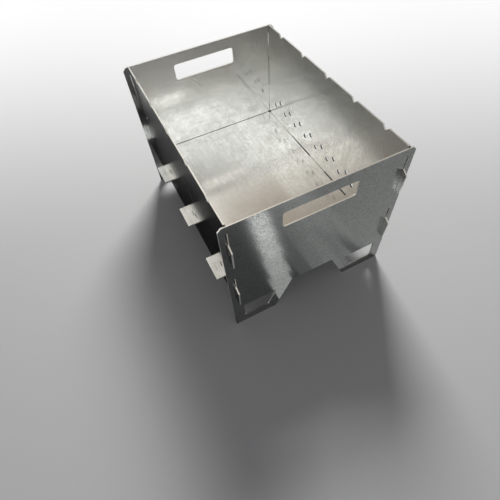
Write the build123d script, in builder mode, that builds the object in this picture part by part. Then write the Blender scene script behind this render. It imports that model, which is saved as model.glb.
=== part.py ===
from build123d import *
import os

os.makedirs("parts", exist_ok=True)

# A plug-together charcoal grill made of five flat pieces of sheet steel.
# All sizes are in millimetres. X is the width, Y the length and Z is up.
# It stands on Z = 0 and is centred on X = 0 and Y = 0, front panel at -Y.

# Overall sizes
sheet = 2.0
length = 350.0
tub_width = 239.5
end_height = 229.0
floor_top = 69.0

# End panels
end_overhang = 8.25
top_cut = 4.5
handle_width = 102.0
handle_height = 25.0
handle_drop = 29.5
handle_radius = 4.0

# Feet of the end panels: a gap between them and a window in each
foot_width = 67.0
foot_slant = 27.0
foot_side_band = 16.0
foot_slant_band = 20.0
foot_low_band = 16.5
foot_high_band = 9.5
window_radius = 2.0
foot_radius = 1.5

# Side panels
side_rise = 1.5
side_lip = 10.0

# Hooks on the ends of the side panels
low_seat_rise = 17.5
high_seat_drop = 50.0
neck_height = 18.5
hook_drop = 19.7
hook_reach = 8.5
hook_slope = 5.5
hook_taper = 2.0
hook_radius = 1.0

# Skewer notches in the top of the side panels
notch_pitch = 65.0
notch_end_margin = 35.0
notch_width = 11.5
notch_depth = 6.0
notch_radius = 1.5

# Air holes in the side panels: two rows, half a pitch apart
hole_size = 8.0
hole_pitch = 34.4
hole_end_margin = 18.0
hole_rise = 29.5
hole_row_gap = 13.0

# Tabs of the floor plate
tab_pitch = 110.0
tab_end_margin = 45.0
tab_length = 41.0
tab_reach = 11.5
tab_radius = 1.0
bay_depth = 1.0
bay_shoulder = 3.0
corner_cut_x = 2.5
corner_cut_y = 2.5

# Clearances
fit = 0.3
floor_gap = 0.8

# Positions that follow from the sizes
end_outer = length / 2
end_inner = end_outer - sheet
side_outer = tub_width / 2
side_inner = side_outer - sheet
side_middle = side_outer - sheet / 2
end_half = side_outer + end_overhang
floor_bottom = floor_top - sheet
side_bottom = floor_bottom - side_lip
side_top = end_height + side_rise
body_end = end_inner - fit
floor_half_width = side_inner - fit
floor_half_length = end_inner - floor_gap

# The gap between the feet ends level with the side panels
gap_height = side_bottom
gap_bottom_half = end_half - foot_width
gap_top_half = gap_bottom_half - foot_slant
window_low = foot_low_band
window_high = gap_height - foot_high_band
window_outer = end_half - foot_side_band
window_inner_low = gap_bottom_half + foot_slant_band - foot_slant * window_low / gap_height
window_inner_high = gap_bottom_half + foot_slant_band - foot_slant * window_high / gap_height

# Each hook sits on the bottom of its slot, and its prong clears the slot after a drop
slot_height = neck_height + hook_drop + 2 * fit
slot_width = sheet + 2 * fit
prong_inner = end_outer + fit
prong_outer = end_outer + hook_reach
tip_outer = prong_outer - hook_taper
hook_seats = [floor_top + low_seat_rise, end_height - high_seat_drop]

# How many notches, tabs and pairs of holes the length has room for
notch_count = 1 + int((length - 2 * notch_end_margin) / notch_pitch)
tab_count = 1 + int((length - 2 * tab_end_margin) / tab_pitch)
hole_count = int((length - 2 * hole_end_margin) / hole_pitch)
tab_slot_middle = floor_bottom + slot_width / 2
row_shift = hole_pitch / 4
low_row = floor_top + hole_rise
high_row = low_row + hole_row_gap

# Front end panel: a flat plate with two feet
with BuildPart() as front_end_panel:
    with BuildSketch(Plane.XZ.offset(end_inner)):
        with BuildLine():
            Polyline(
                (0, gap_height),
                (gap_top_half, gap_height),
                (gap_bottom_half, 0),
                (end_half, 0),
                (end_half, end_height - top_cut),
                (end_half - top_cut, end_height),
                (0, end_height),
            )
            mirror(about=Plane.YZ)
        make_face()
    extrude(amount=sheet)
    # rounded corners of the feet and of the gap between them
    corners = front_end_panel.edges().filter_by(Axis.Y).group_by(Axis.Z)
    fillet(corners[0] + corners[1], radius=foot_radius)
    # grip slot to carry the hot grill by
    with BuildSketch(Plane.XZ.offset(end_inner)):
        with Locations((0, end_height - handle_drop)):
            RectangleRounded(handle_width, handle_height, handle_radius)
    extrude(amount=sheet, mode=Mode.SUBTRACT)
    # a window in each foot, slanted to follow the foot
    with BuildSketch(Plane.XZ.offset(end_inner)) as windows:
        with BuildLine():
            Polyline(
                (window_inner_high, window_high),
                (window_outer, window_high),
                (window_outer, window_low),
                (window_inner_low, window_low),
                close=True,
            )
        make_face()
        fillet(windows.vertices(), radius=window_radius)
        mirror(about=Plane.YZ)
    extrude(amount=sheet, mode=Mode.SUBTRACT)
    # four upright slots for the hooks of the side panels
    with BuildSketch(Plane.XZ.offset(end_inner)):
        for seat in hook_seats:
            with Locations((-side_middle, seat), (side_middle, seat)):
                Rectangle(slot_width, slot_height, align=(Align.CENTER, Align.MIN))
    extrude(amount=sheet, mode=Mode.SUBTRACT)

# Rear end panel: the same plate at the other end
with BuildPart() as rear_end_panel:
    add(front_end_panel.part.mirror(Plane.XZ))

# Right side panel: a flat plate that hooks into both end panels
with BuildPart() as right_side_panel:
    with BuildSketch(Plane.YZ.offset(side_inner)):
        with Locations((0, side_bottom)):
            Rectangle(2 * body_end, side_top - side_bottom, align=(Align.CENTER, Align.MIN))
    extrude(amount=sheet)
    # two hooks at each end, each with a prong that points down
    with BuildSketch(Plane.YZ.offset(side_inner)) as hooks:
        for seat in hook_seats:
            with BuildLine():
                Polyline(
                    (body_end - sheet, seat + neck_height),
                    (end_outer, seat + neck_height),
                    (prong_outer, seat + neck_height - hook_slope),
                    (tip_outer, seat - hook_drop),
                    (prong_inner, seat - hook_drop),
                    (prong_inner, seat),
                    (body_end - sheet, seat),
                    close=True,
                )
            make_face()
        outer_corners = hooks.vertices().group_by(Axis.X)[-2:]
        fillet(outer_corners[0] + outer_corners[1], radius=hook_radius)
        mirror(about=Plane.YZ)
    extrude(amount=sheet)
    # skewer notches with rounded bottoms
    with BuildSketch(Plane.YZ.offset(side_inner)) as notches:
        with Locations((0, side_top)):
            with GridLocations(notch_pitch, 0, notch_count, 1):
                Polygon((-notch_width / 2, 0), (0, -notch_depth), (notch_width / 2, 0), align=None)
        fillet(notches.vertices().group_by(Axis.Y)[0], radius=notch_radius)
    extrude(amount=sheet, mode=Mode.SUBTRACT)
    # air holes just above the floor plate
    with BuildSketch(Plane.YZ.offset(side_inner)):
        with Locations((row_shift, low_row)):
            with GridLocations(hole_pitch, 0, hole_count, 1):
                Circle(hole_size / 2)
        with Locations((-row_shift, high_row)):
            with GridLocations(hole_pitch, 0, hole_count, 1):
                Circle(hole_size / 2)
    extrude(amount=sheet, mode=Mode.SUBTRACT)
    # slots that carry the tabs of the floor plate
    with BuildSketch(Plane.YZ.offset(side_inner)):
        with Locations((0, tab_slot_middle)):
            with GridLocations(tab_pitch, 0, tab_count, 1):
                Rectangle(tab_length + 2 * fit, slot_width)
    extrude(amount=sheet, mode=Mode.SUBTRACT)

# Left side panel: the same plate turned over
with BuildPart() as left_side_panel:
    add(right_side_panel.part.mirror(Plane.YZ))

# Floor plate: carries the coals, with three tabs through each side panel
with BuildPart() as floor_plate:
    with BuildSketch(Plane.XY.offset(floor_bottom)):
        Rectangle(2 * floor_half_width, 2 * floor_half_length)
        with GridLocations(0, tab_pitch, 1, tab_count):
            RectangleRounded(2 * (side_outer + tab_reach), tab_length, tab_radius)
        # shallow bays between the tabs let air down beside the plate
        with GridLocations(2 * floor_half_width, tab_pitch, 2, tab_count - 1):
            Rectangle(2 * bay_depth, tab_pitch - tab_length - 2 * bay_shoulder, mode=Mode.SUBTRACT)
        # the four corners are cut away
        with GridLocations(2 * floor_half_width, 2 * floor_half_length, 2, 2):
            Rectangle(2 * corner_cut_x, 2 * corner_cut_y, mode=Mode.SUBTRACT)
    extrude(amount=sheet)

front_end_panel.part.label = "front_end_panel"
rear_end_panel.part.label = "rear_end_panel"
left_side_panel.part.label = "left_side_panel"
right_side_panel.part.label = "right_side_panel"
floor_plate.part.label = "floor_plate"

export_step(front_end_panel.part, "parts/front_end_panel.step")
export_step(rear_end_panel.part, "parts/rear_end_panel.step")
export_step(left_side_panel.part, "parts/left_side_panel.step")
export_step(right_side_panel.part, "parts/right_side_panel.step")
export_step(floor_plate.part, "parts/floor_plate.step")
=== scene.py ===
# %% [markdown]
# A plug-together kebab grill
#
# The grill is five flat sheets of steel that hook together: two end panels with feet, two notched
# side panels and a floor plate. The frame already holds the true shapes, cut and in place, so this
# lesson is about the finish. Bright rolled steel is hard to show, because it has hardly any colour
# of its own: it shows the floor, the light and its own neighbours, a little blurred. So most of the
# cells below describe how the metal blurs and breaks up what it mirrors, and what there is around
# it to mirror.

# %% Open the frame
import bpy
import math
import numpy as np
from mathutils import Matrix, Vector


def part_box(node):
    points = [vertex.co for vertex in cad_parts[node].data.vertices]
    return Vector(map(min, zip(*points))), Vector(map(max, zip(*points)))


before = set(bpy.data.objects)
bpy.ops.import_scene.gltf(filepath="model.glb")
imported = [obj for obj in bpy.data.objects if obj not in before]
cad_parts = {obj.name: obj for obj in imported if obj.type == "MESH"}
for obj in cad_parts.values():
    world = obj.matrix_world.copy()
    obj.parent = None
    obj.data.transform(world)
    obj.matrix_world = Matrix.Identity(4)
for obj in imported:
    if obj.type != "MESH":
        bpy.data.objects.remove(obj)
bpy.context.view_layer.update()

# %% [markdown]
# The sizes that the finish depends on are read from the sheets themselves. A sheet's thickness is
# the height of the floor plate. The top of that plate and the inner face of an end panel say where
# the inside of the tub begins, and later cells measure from them.

# %% Sizes taken from the sheets
plate_low, plate_high = (Vector(corner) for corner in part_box("floor_plate"))
sheet = plate_high.z - plate_low.z
floor_top = plate_high.z
end_inner = abs(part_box("front_end_panel")[1][1])
print("sheet %.1f mm, floor plate at %.0f mm" % (sheet * 1000, floor_top * 1000))
print("inner length of the tub %.0f mm" % (2 * end_inner * 1000))

# %% [markdown]
# Shader node groups work like functions: they are built once, with named inputs and outputs, and
# each material calls them with its own values. A few small helpers keep the group code short. One
# makes the group with its sockets, the next adds a node and fills its inputs, and the rest are the
# steps that every effect needs: arithmetic with numbers and with vectors, a noise, and a soft step
# between two limits.

# %% Helpers for node groups
number_socket, vector_socket = "NodeSocketFloat", "NodeSocketVector"


def new_group(name, inputs, masks):
    """An empty shader group, with its input node and its output node.

    inputs gives each input's socket type by name. masks are the names of the numbers it puts out.
    """
    group = bpy.data.node_groups.new(name, "ShaderNodeTree")
    for label, kind in inputs.items():
        group.interface.new_socket(label, in_out="INPUT", socket_type=kind)
    for label in masks:
        group.interface.new_socket(label, in_out="OUTPUT", socket_type=number_socket)
    return group, group.nodes.new("NodeGroupInput"), group.nodes.new("NodeGroupOutput")


def fill(tree, socket, value):
    """Link value to the socket if it is a socket itself, or else set it as the socket's value."""
    if isinstance(value, bpy.types.NodeSocket):
        tree.links.new(value, socket)
    else:
        socket.default_value = value


def put(tree, kind, settings=(), **inputs):
    """A node of this kind. settings are its properties, inputs its sockets by name or _number."""
    node = tree.nodes.new(kind)
    for key, value in dict(settings).items():
        setattr(node, key, value)
    for key, value in inputs.items():
        label = int(key[1:]) if key.startswith("_") else key.replace("__", " ")
        fill(tree, node.inputs[label], value)
    return node


def maths(tree, operation, a, b=0.0, clamp=False):
    """The result of one Math node."""
    settings = {"operation": operation, "use_clamp": clamp}
    return put(tree, "ShaderNodeMath", settings, _0=a, _1=b).outputs[0]


def vector_maths(tree, operation, a, b=(0.0, 0.0, 0.0)):
    """The outputs of one Vector Math node."""
    return put(tree, "ShaderNodeVectorMath", {"operation": operation}, _0=a, _1=b).outputs


def noise(tree, vector, scale, detail, **inputs):
    """The value of one Noise Texture node."""
    node = put(tree, "ShaderNodeTexNoise", (), Vector=vector, Scale=scale, Detail=detail, **inputs)
    return node.outputs[0]


def band(tree, value, low, high, to_low=0.0, to_high=1.0):
    """value carried from low..high to to_low..to_high with soft ends."""
    node = put(
        tree, "ShaderNodeMapRange", {"interpolation_type": "SMOOTHSTEP"},
        Value=value, From__Min=low, From__Max=high, To__Min=to_low, To__Max=to_high,
    )
    return node.outputs[0]


print("helpers ready")

# %% [markdown]
# Rolled sheet has a grain: very fine lines that all run one way, from the rollers and the polishing
# belt. The same noise makes it when its coordinates are squeezed hard across the grain and hardly
# at all along it. A second, wider layer gives the soft bands that a long panel shows in a broad
# reflection. The dull side of the sheet also has tiny pits, like fine sand, which are an ordinary
# unsqueezed noise with its peaks cut out. In every group below, the sheet lies in the X and Z
# directions of the coordinates that come in, with its grain along Z.

# %% Grain of the rolled sheet
line_squeeze = (900, 900, 20)
streak_squeeze = (260, 260, 9)
streak_limits = (0.36, 0.64)
pit_scale = 850.0
pit_limits = (0.44, 0.62)
grain_group, g_in, g_out = new_group(
    "Rolled grain", {"Vector": vector_socket}, ["Lines", "Streaks", "Pits"],
)


def squeezed_noise(tree, vector, squeeze, detail, turn=0.0):
    """Noise whose coordinates are turned in the sheet by turn and then multiplied by squeeze."""
    settings = {"vector_type": "POINT"}
    turned = put(tree, "ShaderNodeMapping", settings, Vector=vector, Rotation=(0, turn, 0))
    pressed = vector_maths(tree, "MULTIPLY", turned.outputs[0], squeeze)["Vector"]
    return noise(tree, pressed, 1.0, detail, Roughness=0.6)


laid_out = g_in.outputs["Vector"]
lines = squeezed_noise(grain_group, laid_out, line_squeeze, 1.0)
streaks = squeezed_noise(grain_group, laid_out, streak_squeeze, 2.0)
pits = noise(grain_group, laid_out, pit_scale, 2.0)
grain_group.links.new(lines, g_out.inputs["Lines"])
grain_group.links.new(band(grain_group, streaks, *streak_limits), g_out.inputs["Streaks"])
grain_group.links.new(band(grain_group, pits, *pit_limits), g_out.inputs["Pits"])
print("group:", grain_group.name)

# %% [markdown]
# Handling leaves marks on bright steel: greasy smudges, finer wisps where a hand or a cloth went
# over it, and hair-thin scratches. Smudges and wisps are cloudy noises with some distortion, so
# that they look wiped rather than spotty. A scratch is a squeezed noise again, cut off so high that
# only a few long thin peaks remain, and three layers at different angles make them cross.

# %% Smudges and scratches
smudge_limits = (0.40, 0.66)
wisp_scale = 95.0
wisp_limits = (0.36, 0.68)
scratch_squeeze = (520, 520, 11)
scratch_turns = (0.35, -0.9, 1.35)
scratch_slope = 12.0
marks_group, m_in, m_out = new_group(
    "Handling marks",
    {"Vector": vector_socket, "Smudge size": number_socket, "Cut": number_socket},
    ["Smudges", "Wisps", "Scratches"],
)
laid_out, size, cut = (m_in.outputs[label] for label in ("Vector", "Smudge size", "Cut"))
clouds = noise(marks_group, laid_out, size, 5.0, Roughness=0.6, Distortion=1.4)
wisps = noise(marks_group, laid_out, wisp_scale, 4.0, Roughness=0.55, Distortion=2.2)
scratches = 0.0
for turn in scratch_turns:
    layer = squeezed_noise(marks_group, laid_out, scratch_squeeze, 0.0, turn)
    above = maths(marks_group, "SUBTRACT", layer, cut)
    peaks = maths(marks_group, "MULTIPLY", above, scratch_slope, clamp=True)
    scratches = maths(marks_group, "ADD", peaks, scratches)
marks_group.links.new(band(marks_group, clouds, *smudge_limits), m_out.inputs["Smudges"])
marks_group.links.new(band(marks_group, wisps, *wisp_limits), m_out.inputs["Wisps"])
marks_group.links.new(scratches, m_out.inputs["Scratches"])
print("group:", marks_group.name)

# %% [markdown]
# The sheets are cut by a laser. The cut leaves a brighter, finely ribbed edge, with the ribs across
# the thickness. On a flat sheet the dot product of the normal and the sheet's outward direction is
# one on the outer face, minus one on the inner face and nothing on a cut edge, so one number tells
# all three apart. The ribs are a noise that doesn't change along the outward direction: that part
# of the coordinates is multiplied by nothing.

# %% Cut edges and sides
rib_scale = 1700.0
edge_limits = (0.35, 0.75)
side_limits = (-0.2, 0.2)
edge_group, e_in, e_out = new_group(
    "Cut edge",
    {"Outward": vector_socket, "Vector": vector_socket},
    ["Edge", "Outer side", "Ribs"],
)
out_of_sheet = e_in.outputs["Outward"]
normal = put(edge_group, "ShaderNodeTexCoord").outputs["Normal"]
facing = vector_maths(edge_group, "DOT_PRODUCT", normal, out_of_sheet)["Value"]
on_face = maths(edge_group, "ABSOLUTE", facing)
edge_group.links.new(band(edge_group, on_face, *edge_limits, 1.0, 0.0), e_out.inputs["Edge"])
edge_group.links.new(band(edge_group, facing, *side_limits), e_out.inputs["Outer side"])
through = vector_maths(edge_group, "ABSOLUTE", out_of_sheet)["Vector"]
beside = vector_maths(edge_group, "SUBTRACT", (1.0, 1.0, 1.0), through)["Vector"]
along = vector_maths(edge_group, "MULTIPLY", e_in.outputs["Vector"], beside)["Vector"]
edge_group.links.new(noise(edge_group, along, rib_scale, 2.0), e_out.inputs["Ribs"])
print("group:", edge_group.name)

# %% [markdown]
# Thin rolled sheet is never quite flat. It bows and ripples by a tenth of a millimetre or so, which
# the eye can't see in the outline, but it bends every mirrored line. The ripple is one slow noise,
# used for its height alone.

# %% Ripple of thin sheet
ripple_group, r_in, r_out = new_group(
    "Sheet ripple", {"Vector": vector_socket, "Size": number_socket}, ["Height"],
)
slow = noise(ripple_group, r_in.outputs["Vector"], r_in.outputs["Size"], 1.0, Roughness=0.4)
ripple_group.links.new(slow, r_out.inputs["Height"])
print("group:", ripple_group.name)

# %% [markdown]
# Now the values of the steel itself. The inner side is bright and clear, the outer side duller and
# sandy, and a cut edge is brightest. The outer side's much darker tone is a painted reflection: the
# same steel, darkened to stand in for the dark things that the outer faces mirror. Each mark changes
# three things by its own share: the tone, how far the mirror image is blurred, which is the
# roughness, and the height of the surface. The marks of handling are kept apart from the others,
# because the dull side shows much less of them. The cut walls of the air holes get painted shade, a
# near black tone that stands in for the shade seen through them. The same tone is painted shade on
# the last hair's breadth of a sheet that ends against an end panel, in the narrow seam.

# %% Tones, blur and heights
inner_tone = (0.82, 0.82, 0.81, 1.0)
# this and the outer smudge tone are a painted reflection: far darker than the inner tones of the
# same steel
outer_painted_dark_tone = (0.37, 0.385, 0.375, 1.0)
smudge_tone = (0.67, 0.665, 0.645, 1.0)
outer_smudge_painted_dark_tone = (0.30, 0.315, 0.30, 1.0)
edge_tone = (0.88, 0.87, 0.84, 1.0)
# near black: painted shade in the hole walls and the seams, and also the dark of the outer pits
pit_and_painted_shade_tone = (0.04, 0.037, 0.033, 1.0)
tone_shares = {"smudges": 0.25, "wisps": 0.45, "streaks": 0.30}
scratch_shares = (0.3, 0.1)
pit_share = 0.42
handling_blur = {"smudges": 0.045, "wisps": 0.05, "streaks": 0.02}
other_blur = {
    "pits": 0.025, "outer pits": 0.06, "scratches": 0.2, "outer side": 0.08, "edge": 0.25,
}
outer_handling = 0.2
heights_mm = {
    "lines": 0.0015, "ripple": 0.3, "outer pits": -0.003, "scratches": -0.01, "ribs": 0.03,
}
smudge_size = 30.0
scratch_cut = 0.82
ripple_size = 9.0
hole_zone = (floor_top + 0.016, floor_top + 0.061)
hole_reach = end_inner - 0.010
seam_from = (end_inner - 0.0010, end_inner - 0.0008)
seam_to = (end_inner - 0.0002, end_inner - 0.0001)
print("air holes between %.0f and %.0f mm up" % tuple(v * 1000 for v in hole_zone))

# %% [markdown]
# Three more helpers work inside a material. One mixes two colours, one places a group, and one adds
# up masks, each multiplied by its share from the tables above.


# %% Helpers for materials
def tint(tree, amount, under, over):
    """The colour under, mixed towards over by amount."""
    node = tree.nodes.new("ShaderNodeMix")
    node.data_type = "RGBA"
    for number, value in ((0, amount), (6, under), (7, over)):
        fill(tree, node.inputs[number], value)
    return node.outputs[2]


def group_node(tree, group, **inputs):
    """The outputs of this group placed in a material, with its inputs set."""
    node = tree.nodes.new("ShaderNodeGroup")
    node.node_tree = group
    for key, value in inputs.items():
        fill(tree, node.inputs[key.replace("__", " ")], value)
    return node.outputs


def weighted_sum(tree, masks, shares, start):
    """start plus each mask times its share."""
    total = start
    for mark, share in shares.items():
        total = maths(tree, "ADD", maths(tree, "MULTIPLY", masks[mark], share), total)
    return total


print("material helpers ready")

# %% [markdown]
# Two places of painted shade are found by their coordinates alone. The air holes lie in a level
# zone of the side panels, well inside the end panels, so that the slots of the hooks stay bright. A
# seam is a very thin slice of the length, just short of the inner face of an end panel.


# %% Places of painted shade
def in_hole_zone(tree, place):
    """One at the height of the air holes and between the end panels, and nothing elsewhere."""
    parts = put(tree, "ShaderNodeSeparateXYZ", (), Vector=place).outputs
    low, high = hole_zone
    over = band(tree, parts["Z"], low - sheet, low)
    under = band(tree, parts["Z"], high, high + sheet, 1.0, 0.0)
    from_middle = maths(tree, "ABSOLUTE", parts["Y"])
    inside = band(tree, from_middle, hole_reach - sheet, hole_reach, 1.0, 0.0)
    return maths(tree, "MULTIPLY", maths(tree, "MULTIPLY", over, under), inside)


def at_seam(tree, place):
    """One on the last hair's breadth of a sheet that ends against an end panel."""
    parts = put(tree, "ShaderNodeSeparateXYZ", (), Vector=place).outputs
    from_middle = maths(tree, "ABSOLUTE", parts["Y"])
    near = band(tree, from_middle, *seam_from)
    clear = band(tree, from_middle, *seam_to, 1.0, 0.0)
    return maths(tree, "MULTIPLY", near, clear)


print("seam %.1f mm wide" % ((seam_to[0] - seam_from[0]) * 1000))

# %% [markdown]
# Each sheet gathers its masks once, under plain names. A Mapping node first lays the sheet in the
# X and Z directions, with its grain along Z, and moves it to its own part of the noise, so that no
# two sheets have the same marks.


# %% Masks of one sheet
def sheet_masks(tree, place, outward, turn, offset):
    """All masks of a sheet by name, where outward is the direction of its outer face."""
    settings = {"vector_type": "POINT"}
    laid = put(tree, "ShaderNodeMapping", settings, Vector=place, Rotation=turn, Location=offset)
    where = laid.outputs[0]
    grain = group_node(tree, grain_group, Vector=where)
    marks = group_node(tree, marks_group, Vector=where, Smudge__size=smudge_size, Cut=scratch_cut)
    edge = group_node(tree, edge_group, Vector=where, Outward=outward)
    ripple = group_node(tree, ripple_group, Vector=where, Size=ripple_size)
    return {
        "lines": grain["Lines"],
        "streaks": grain["Streaks"],
        "pits": grain["Pits"],
        "outer pits": maths(tree, "MULTIPLY", grain["Pits"], edge["Outer side"]),
        "smudges": marks["Smudges"],
        "wisps": marks["Wisps"],
        "scratches": marks["Scratches"],
        "ripple": ripple["Height"],
        "ribs": maths(tree, "MULTIPLY", edge["Ribs"], edge["Edge"]),
        "outer side": edge["Outer side"],
        "edge": edge["Edge"],
    }


print("masks ready")

# %% [markdown]
# The tone starts as one of the two sides and takes the marks one after another, with the cut edges
# and the painted shade last, because they lie over the rest. The blur is a sum, so its order doesn't
# matter.


# %% Tone and blur of one sheet
def steel_tone(tree, masks, place):
    """The colour of a sheet: its two sides, then marks, pits, cut edges and painted shade over them.
    """
    outside = masks["outer side"]
    # the outer side's darker tone is a painted reflection
    colour = tint(tree, outside, inner_tone, outer_painted_dark_tone)
    smudged = tint(tree, outside, smudge_tone, outer_smudge_painted_dark_tone)
    for mark, share in tone_shares.items():
        colour = tint(tree, maths(tree, "MULTIPLY", masks[mark], share), colour, smudged)
    scratch_share = band(tree, outside, 0.0, 1.0, *scratch_shares)
    scratched = maths(tree, "MULTIPLY", masks["scratches"], scratch_share)
    colour = tint(tree, scratched, colour, edge_tone)
    pitted = maths(tree, "MULTIPLY", masks["outer pits"], pit_share)
    colour = tint(tree, pitted, colour, pit_and_painted_shade_tone)
    colour = tint(tree, masks["edge"], colour, edge_tone)
    # painted shade: cut edges in the air hole zone and the seam next to an end panel go near black
    hole_shade = maths(tree, "MULTIPLY", in_hole_zone(tree, place), masks["edge"])
    dark = maths(tree, "MAXIMUM", hole_shade, at_seam(tree, place))
    return tint(tree, dark, colour, pit_and_painted_shade_tone)


def steel_blur(tree, masks, haze):
    """The roughness of a sheet: its haze and what the marks add, less by hand on the outer side."""
    handled = band(tree, masks["outer side"], 0.0, 1.0, 1.0, outer_handling)
    by_hand = maths(tree, "MULTIPLY", weighted_sum(tree, masks, handling_blur, 0.0), handled)
    return maths(tree, "ADD", weighted_sum(tree, masks, other_blur, haze), by_hand)


print("tone and blur ready")

# %% [markdown]
# One function now puts the steel of a sheet together. The shader is metallic all over. The heights
# are added up in millimetres for a single Bump node, whose distance is one millimetre.

# %% The steel of one sheet
millimetre = 0.001


def steel(name, outward, turn, offset, haze):
    """Rolled steel of one sheet.

    outward is the direction of its outer face. turn lays the sheet in the X and Z directions with
    its grain along Z, and offset picks its part of the noise. haze is the roughness of the clean
    inner side.
    """
    material = bpy.data.materials.new(name)
    material.use_nodes = True
    tree = material.node_tree
    shader = tree.nodes["Principled BSDF"]
    shader.inputs["Metallic"].default_value = 1.0
    place = put(tree, "ShaderNodeTexCoord").outputs["Object"]
    masks = sheet_masks(tree, place, outward, turn, offset)
    tree.links.new(steel_tone(tree, masks, place), shader.inputs["Base Color"])
    tree.links.new(steel_blur(tree, masks, haze), shader.inputs["Roughness"])
    height = weighted_sum(tree, masks, heights_mm, 0.0)
    bump = put(tree, "ShaderNodeBump", (), Height=height, Distance=millimetre, Strength=1.0)
    tree.links.new(bump.outputs[0], shader.inputs["Normal"])
    return material


print("steel ready")

# %% [markdown]
# Each sheet now gets its own steel. Three things differ between them: which way is outward, which
# way the grain runs, and how hazy the inner side is. The floor plate is the haziest, because it has
# been stroked and stacked on most. The CAD mesh is left as it is: a Weld modifier joins its loose
# triangles, and a small Bevel takes the razor edge off the cut corners, which then catch the light
# as a thin bright line.

# %% Dress the five sheets
weld_distance = 0.00001
edge_width = sheet / 8
edge_angle = math.radians(40)
quarter = math.pi / 2
lay_end, lay_side, lay_floor = (0, quarter, 0), (0, 0, quarter), (quarter, 0, 0)
dress = {
    "front_end_panel": ((0, -1, 0), lay_end, (0.0, 0.0, 0.0), 0.06),
    "rear_end_panel": ((0, 1, 0), lay_end, (3.0, 1.0, 0.0), 0.09),
    "left_side_panel": ((-1, 0, 0), lay_side, (1.0, 4.0, 0.0), 0.07),
    "right_side_panel": ((1, 0, 0), lay_side, (5.0, 2.0, 0.0), 0.07),
    "floor_plate": ((0, 0, -1), lay_floor, (7.0, 3.0, 0.0), 0.12),
}
for node, finish in dress.items():
    sheet_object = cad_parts[node]
    sheet_object.data.materials.clear()
    sheet_object.data.materials.append(steel("steel_" + node, *finish))
    weld = sheet_object.modifiers.new("weld", "WELD")
    weld.merge_threshold = weld_distance
    bevel = sheet_object.modifiers.new("edge", "BEVEL")
    bevel.width = edge_width
    bevel.segments = 2
    bevel.limit_method = "ANGLE"
    bevel.angle_limit = edge_angle
    print(node, len(sheet_object.data.vertices), "corners")

# %% [markdown]
# The floor is a plain pale disc. It is a grid in polar coordinates, whose rings grow by an equal
# factor each time, with one many-sided face in the middle.

# %% Floor
floor_radius = 8.0
middle_radius = 0.3
rings, spokes = 24, 96
radii = np.geomspace(middle_radius, floor_radius, rings)
angles = np.linspace(0, 2 * np.pi, spokes, endpoint=False)
xs, ys = np.outer(radii, np.cos(angles)), np.outer(radii, np.sin(angles))
ring_points = np.stack((xs, ys, np.zeros_like(xs)), axis=-1).reshape(-1, 3)
ring, spoke = np.meshgrid(np.arange(rings - 1), np.arange(spokes), indexing="ij")
onward = (spoke + 1) % spokes
inner, outer = ring * spokes, (ring + 1) * spokes
quads = np.stack((inner + spoke, outer + spoke, outer + onward, inner + onward), axis=-1)
middle_face = list(range(spokes))
floor_mesh = bpy.data.meshes.new("studio_floor")
floor_mesh.from_pydata(ring_points.tolist(), [], [middle_face] + quads.reshape(-1, 4).tolist())
floor = bpy.data.objects.new("studio_floor", floor_mesh)
bpy.context.scene.collection.objects.link(floor)
print("floor radius", floor_radius, "m")

# %% [markdown]
# Near the grill the floor is an ordinary matt surface that takes the shadow. Away from the grill it
# fades to a plain white glow, so that its edge never shows against the white surroundings.

# %% Finish of the floor
floor_tone = (0.52, 0.52, 0.515, 1.0)
plain_middle = (-0.25, -0.55, 0.0)
glow_from, glow_full = 0.65, 1.75
floor_material = bpy.data.materials.new("studio_floor")
floor_material.use_nodes = True
tree = floor_material.node_tree
matt = tree.nodes["Principled BSDF"]
matt.inputs["Base Color"].default_value = floor_tone
matt.inputs["Roughness"].default_value = 1.0
matt.inputs["Specular IOR Level"].default_value = 0.0
floor_place = put(tree, "ShaderNodeTexCoord").outputs["Object"]
distance = vector_maths(tree, "DISTANCE", floor_place, plain_middle)["Value"]
glow = put(tree, "ShaderNodeEmission", (), Color=(1.0, 1.0, 1.0, 1.0), Strength=1.0)
blend = put(tree, "ShaderNodeMixShader", (), Fac=band(tree, distance, glow_from, glow_full))
tree.links.new(matt.outputs[0], blend.inputs[1])
tree.links.new(glow.outputs[0], blend.inputs[2])
tree.links.new(blend.outputs[0], tree.nodes["Material Output"].inputs["Surface"])
floor_mesh.materials.append(floor_material)
print("matt up to", glow_from, "m, all glow from", glow_full, "m")

# %% [markdown]
# Metal needs something to show. The surroundings are white at the horizon and grey above it, with a
# warm ceiling overhead and soft light panels in front of the grill and behind it. A direction is
# carried to a flat ceiling by dividing its sideways parts by its height: "across" then counts to
# the right and "ahead" to the rear, and the edges of a panel become plain limits on two numbers.
# Inside the tub a ray bounces from sheet to sheet a few times before it leaves, so the bright parts
# need more than a strength of one to come out as pale as the steel really looks.

# %% Tones of the surroundings
horizon_tone = (1.0, 1.0, 1.0, 1.0)
wall_tone = (0.32, 0.325, 0.32, 1.0)
ceiling_tone = (0.42, 0.36, 0.30, 1.0)
panel_tone = (1.40, 1.43, 1.40, 1.0)
bright_panel_tone = (2.50, 2.55, 2.52, 1.0)
front_edge_tone = (3.2, 3.2, 3.1, 1.0)
front_gap_tone = (0.12, 0.11, 0.10, 1.0)
rear_left_tone = (1.30, 1.27, 1.18, 1.0)
rear_right_tone = (1.0, 0.97, 0.90, 1.0)
rear_edge_tone = (2.50, 2.50, 2.40, 1.0)
shade_tone = (0.24, 0.24, 0.25, 1.0)
lowest_up = 0.02
world = bpy.data.worlds.new("studio")
bpy.context.scene.world = world
world.use_nodes = True
tree = world.node_tree
direction = put(tree, "ShaderNodeTexCoord").outputs["Generated"]
parts = put(tree, "ShaderNodeSeparateXYZ", (), Vector=direction).outputs
up = maths(tree, "MAXIMUM", parts["Z"], lowest_up)
across = maths(tree, "DIVIDE", parts["X"], up)
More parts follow.
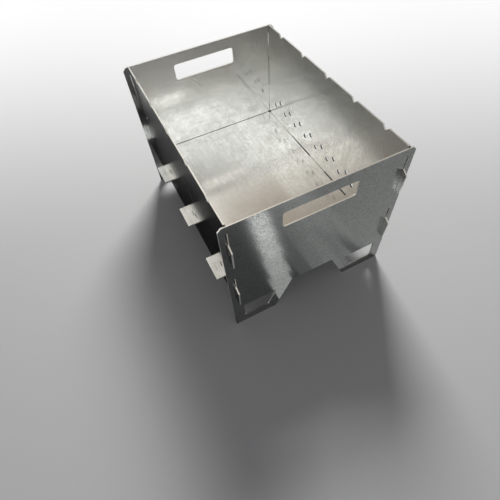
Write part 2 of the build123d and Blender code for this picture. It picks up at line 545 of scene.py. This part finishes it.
ahead = maths(tree, "DIVIDE", parts["Y"], up)


def between(value, low, high, soft):
    """One where value is between low and high, falling to nothing over soft at both ends."""
    rise = band(tree, value, low - soft, low + soft)
    fall = band(tree, value, high - soft, high + soft, 1.0, 0.0)
    return maths(tree, "MULTIPLY", rise, fall)


def both(a, b):
    """The product of two masks."""
    return maths(tree, "MULTIPLY", a, b)


def slanted(share):
    """across plus this share of ahead: one number whose limits are slanting lines."""
    return maths(tree, "ADD", across, maths(tree, "MULTIPLY", ahead, share))


print("directions ready")

# %% [markdown]
# The panel in front has both its far corners cut off along slanting lines, and it is brightest at
# its left. Its edge and a dark gap in it are strips of their own. Behind the grill there are three
# soft panels and one bright edge.

# %% Panels in front and behind
front_panel = both(between(ahead, -1.64, -0.91, 0.03), band(tree, across, -1.00, -0.90))
front_panel = both(front_panel, band(tree, slanted(0.62), -1.67, -1.40))
front_panel = both(front_panel, band(tree, slanted(-0.73), 1.46, 1.76, 1.0, 0.0))
front_left = band(tree, across, -0.68, -0.30, 1.0, 0.0)
front_edge = both(between(ahead, -1.64, -1.50, 0.02), between(across, 0.0, 0.6, 0.1))
front_gap = both(between(ahead, -1.06, -0.91, 0.02), between(across, 0.0, 0.36, 0.05))
rear_left = both(between(ahead, 0.80, 1.60, 0.12), between(across, -1.0, -0.2, 0.1))
near_left = both(between(ahead, 0.50, 1.50, 0.12), between(across, -0.3, 0.21, 0.04))
rear_right = both(between(ahead, 0.90, 1.60, 0.10), between(across, 0.15, 0.9, 0.1))
rear_edge = both(between(ahead, 1.42, 1.54, 0.03), between(across, -0.7, 0.62, 0.18))
print("panels ready")

# %% [markdown]
# The parts are laid over one another in order, from the wall up to the brightest strips. Rays that
# only carry diffuse light get one dim tone instead, so that the shadow on the floor stays readable.
# All other rays see the same surroundings, so the metal mirrors what stands behind it. Light can go
# round inside the tub many times, so the limits on bounces are raised.

# %% Surroundings
overlay = [
    (band(tree, parts["Z"], 0.20, 0.44), wall_tone),
    (band(tree, parts["Z"], 0.60, 0.70), ceiling_tone),
    (rear_right, rear_right_tone),
    (maths(tree, "MAXIMUM", rear_left, near_left), rear_left_tone),
    (rear_edge, rear_edge_tone),
    (front_panel, tint(tree, front_left, panel_tone, bright_panel_tone)),
    (front_edge, front_edge_tone),
    (front_gap, front_gap_tone),
]
lit = horizon_tone
for mask, tone in overlay:
    lit = tint(tree, mask, lit, tone)
light_path = tree.nodes.new("ShaderNodeLightPath").outputs
seen = maths(tree, "MAXIMUM", light_path["Is Camera Ray"], light_path["Is Glossy Ray"])
seen = maths(tree, "MAXIMUM", seen, light_path["Is Transmission Ray"])
background = tree.nodes["Background"]
tree.links.new(tint(tree, seen, shade_tone, lit), background.inputs["Color"])
background.inputs["Strength"].default_value = 1.0
bpy.context.scene.cycles.max_bounces = 16
bpy.context.scene.cycles.glossy_bounces = 12
print("surroundings of", len(overlay), "parts")

# %% [markdown]
# The main lamp stands behind the grill on the right, so that its shadow falls to the left and the
# front. It is broad, which keeps the edge of the shadow soft, and the steel doesn't mirror it.
#
# A dull upright sheet seen from above shows little but the floor at its foot. To bring out the sand
# of the front panel, a light strip lies on the floor before it, and a dimmer patch of light to its
# right. The strip is a row of short lamps, stronger away from the grill, and the patch a row of long
# ones, strongest in the middle, so that both fade softly. Only mirror images show them, and the
# floor gets no light from them.


# %% Lamps
def area_lamp(name, place, aim, size, power, unseen_by):
    """An area lamp at place that faces aim. Rays of the kinds in unseen_by miss it."""
    data = bpy.data.lights.new(name, "AREA")
    data.shape = "RECTANGLE"
    data.size, data.size_y = size
    data.energy = power
    lamp = bpy.data.objects.new(name, data)
    lamp.location = place
    lamp.rotation_mode = "QUATERNION"
    lamp.rotation_quaternion = (Vector(aim) - Vector(place)).to_track_quat("-Z", "Y")
    for kind in unseen_by:
        setattr(lamp, "visible_" + kind, False)
    bpy.context.scene.collection.objects.link(lamp)


def floor_lamp(name, x, y, size, power):
    """A small lamp that lies on the floor at x, y and faces up, seen only in mirror images."""
    area_lamp(name, (x, y, 0.003), (x, y, 1.0), size, power, ["diffuse", "camera"])


area_lamp("main_lamp", (0.61, 1.15, 1.30), (0.0, 0.0, floor_top), (0.6, 0.6), 40, ["glossy"])
strip_powers = (0.0028, 0.0034, 0.0050, 0.0064, 0.0074)
strip_size = (0.036, 0.038)
strip_near, strip_far = np.array((-0.038, -0.180)), np.array((0.000, -0.365))
for step, power in enumerate(strip_powers):
    x, y = strip_near + (strip_far - strip_near) * (step + 0.5) / len(strip_powers)
    floor_lamp("strip_lamp", x, y, strip_size, power)
dim_powers = (0.0019, 0.0044, 0.0055, 0.0044, 0.0019)
dim_size = (0.024, 0.22)
dim_left, dim_right, dim_y = 0.010, 0.106, -0.29
for x, power in zip(np.linspace(dim_left, dim_right, len(dim_powers)), dim_powers):
    floor_lamp("dim_lamp", x, dim_y, dim_size, power)
print("lamps:", 1 + len(strip_powers) + len(dim_powers))

# %% [markdown]
# The left side panel mirrors the floor beside it, and over a white floor it would come out as pale
# as the inside of the tub. A studio lays a black card there, because a dark side makes the bright
# edges and tabs stand out. The card fades to nothing towards its far edges, so it looks like a deep
# soft shade in the panel and not like a card. As with the strip lamps, only mirror images show it.

# %% Dark card
card_low, card_high = (-0.25, -0.30), (-0.125, 0.60)
full_left, full_front, full_rear = -0.18, -0.04, 0.38
card_height = 0.002
card_tone = (0.03, 0.03, 0.03, 1.0)
xs, ys = np.meshgrid((card_low[0], card_high[0]), (card_low[1], card_high[1]))
card_points = np.stack((xs, ys, np.full_like(xs, card_height)), axis=-1).reshape(-1, 3)
card_mesh = bpy.data.meshes.new("dark_card")
card_mesh.from_pydata(card_points.tolist(), [], [(0, 1, 3, 2)])
dark_card = bpy.data.objects.new("dark_card", card_mesh)
bpy.context.scene.collection.objects.link(dark_card)
for kind in ("camera", "diffuse", "shadow"):
    setattr(dark_card, "visible_" + kind, False)
print("dark card %.0f mm wide" % ((card_high[0] - card_low[0]) * 1000))

# %% [markdown]
# The fading is done by the Alpha of the card's shader: one number that is one in the middle of the
# card and nothing at its three far edges. The edge next to the grill stays full.

# %% Finish of the dark card
card_material = bpy.data.materials.new("dark_card")
card_material.use_nodes = True
tree = card_material.node_tree
card_shader = tree.nodes["Principled BSDF"]
card_shader.inputs["Base Color"].default_value = card_tone
card_shader.inputs["Roughness"].default_value = 1.0
card_shader.inputs["Specular IOR Level"].default_value = 0.0
card_place = put(tree, "ShaderNodeTexCoord").outputs["Object"]
card_parts = put(tree, "ShaderNodeSeparateXYZ", (), Vector=card_place).outputs
to_left = band(tree, card_parts["X"], card_low[0], full_left)
to_front = band(tree, card_parts["Y"], card_low[1], full_front)
to_rear = band(tree, card_parts["Y"], full_rear, card_high[1], 1.0, 0.0)
dark_part = maths(tree, "MULTIPLY", to_left, maths(tree, "MULTIPLY", to_front, to_rear))
tree.links.new(dark_part, card_shader.inputs["Alpha"])
card_mesh.materials.append(card_material)
print("card fades over %.0f mm at its left" % ((full_left - card_low[0]) * 1000))

# %% [markdown]
# The camera looks down into the tub from the front left, a little tilted, as the grill is pictured.
# Its place, its aim and its lens were found by lining up the corners of the sheets with the
# picture. The small shift moves the frame, not the view.

# %% Camera
camera_place = Vector((-0.1863, -0.4063, 0.5280))
camera_aim = Vector((-0.0688, -0.1381, 0.1000))
camera_roll = math.radians(-4.46)
camera_data = bpy.data.cameras.new("camera")
camera_data.lens = 27.11
camera_data.sensor_width = 36.0
camera_data.shift_x = -0.0150
camera_data.shift_y = 0.0065
camera = bpy.data.objects.new("camera", camera_data)
bpy.context.scene.collection.objects.link(camera)
view_turn = (camera_aim - camera_place).to_track_quat("-Z", "Y").to_matrix().to_4x4()
roll_turn = Matrix.Rotation(camera_roll, 4, "Z")
camera.matrix_world = Matrix.Translation(camera_place) @ view_turn @ roll_turn
bpy.context.scene.camera = camera
bpy.context.scene.view_settings.view_transform = "Standard"
print("camera at", [round(v, 3) for v in camera.location])
